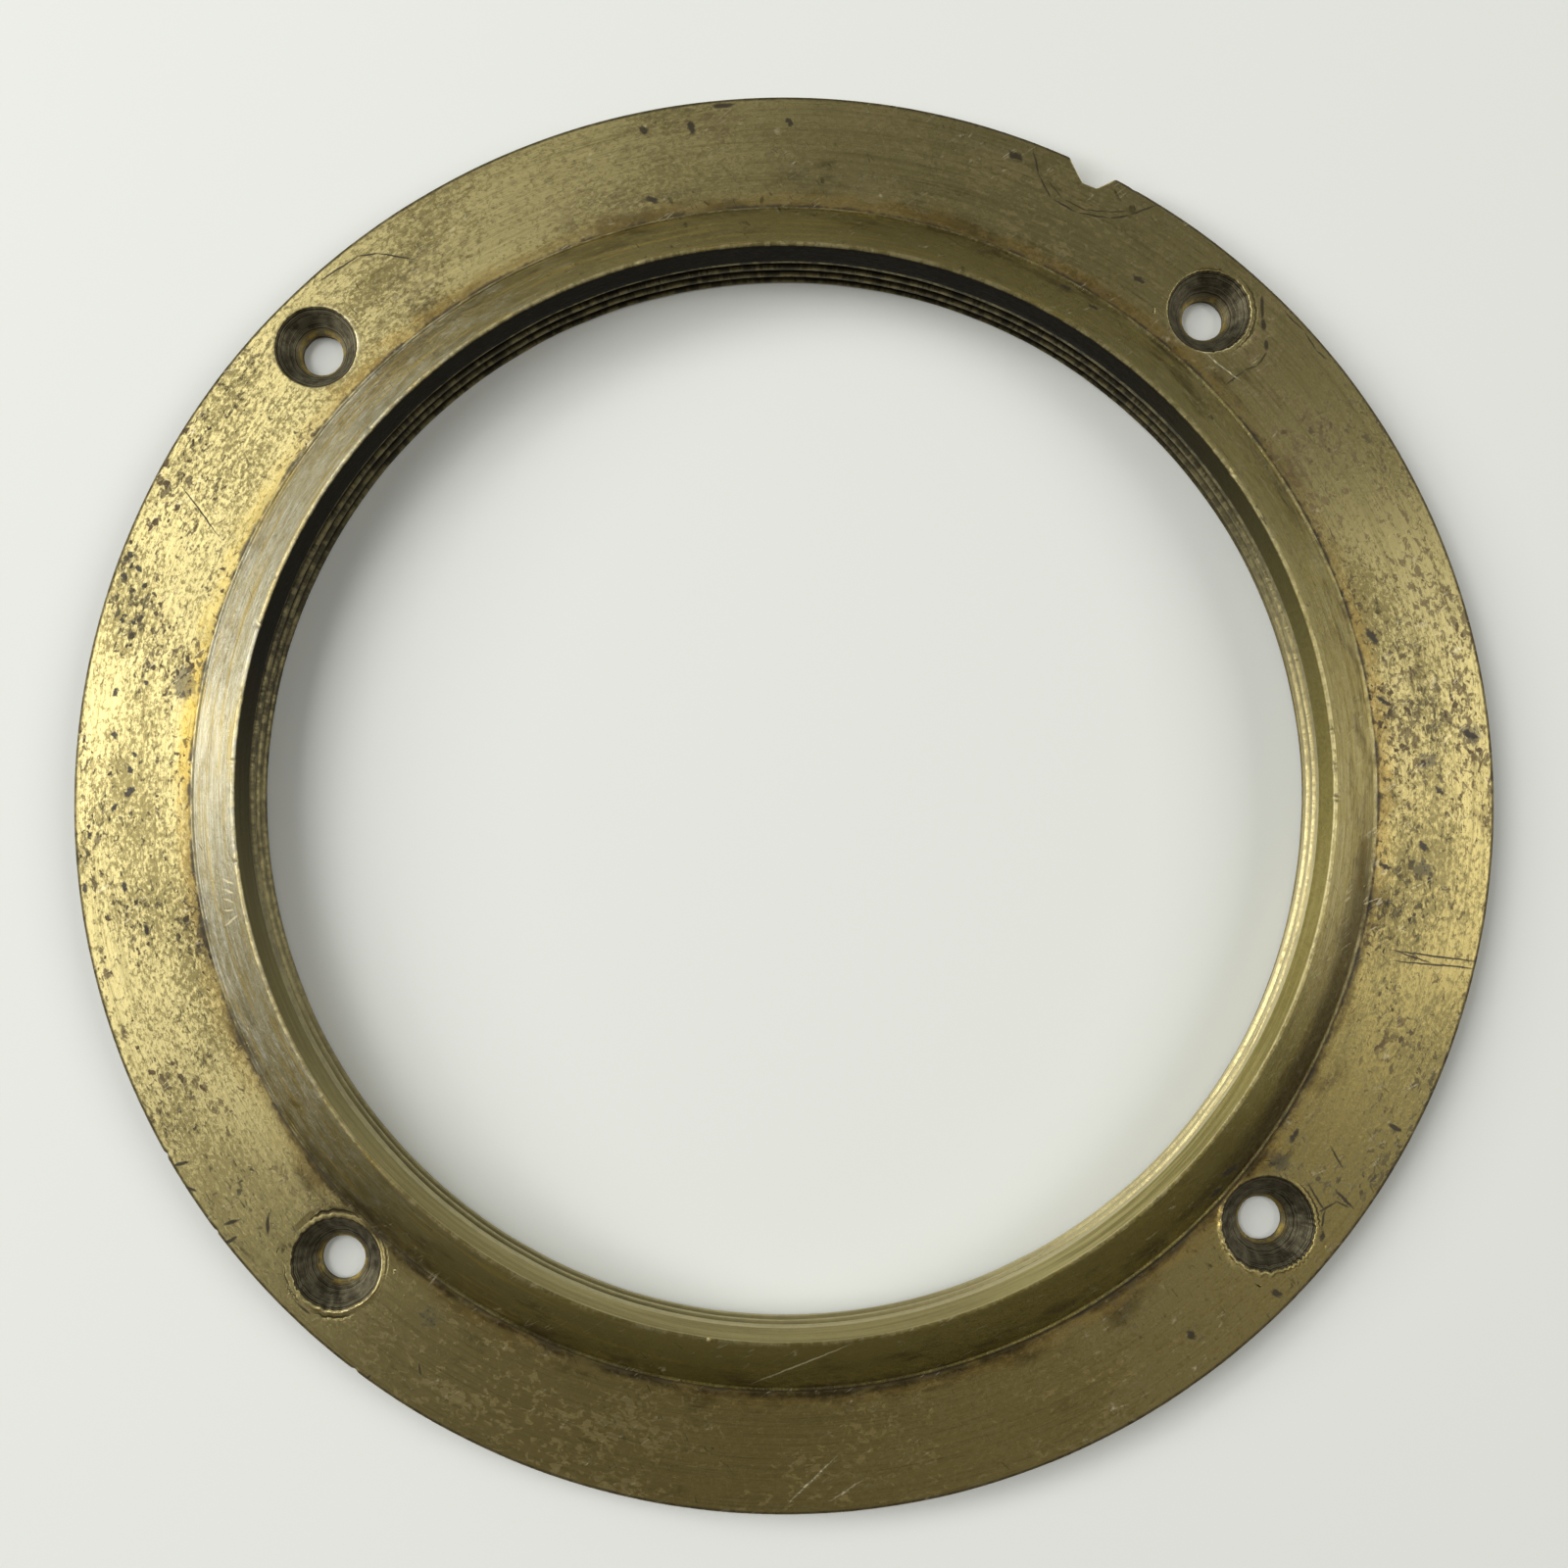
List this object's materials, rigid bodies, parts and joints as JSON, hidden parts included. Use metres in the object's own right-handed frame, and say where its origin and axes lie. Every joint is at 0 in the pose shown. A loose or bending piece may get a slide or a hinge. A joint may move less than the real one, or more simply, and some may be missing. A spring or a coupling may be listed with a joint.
{
  "type": "lens mounting flange",
  "caption": "Round brass mounting flange for a large lens: flat ring, raised conical collar, threaded bore, countersunk screw holes and a filed notch in the edge.",
  "frame": {"origin": "centre of the bore on the flat back face, the face that is screwed against a camera or lens board", "axes": "+Z along the bore, out of the back face towards the raised collar; +X and +Y lie in the back face, with the filed notch 63 degrees round from +X towards +Y"},
  "size_m": [0.127, 0.127, 0.0074],
  "materials": {
    "aged_brass": "turned brass with worn lacquer, dulled, pitted and spotted with age"
  },
  "bodies": {
    "root": {"lens_flange": "aged_brass"}
  },
  "joints": []
}
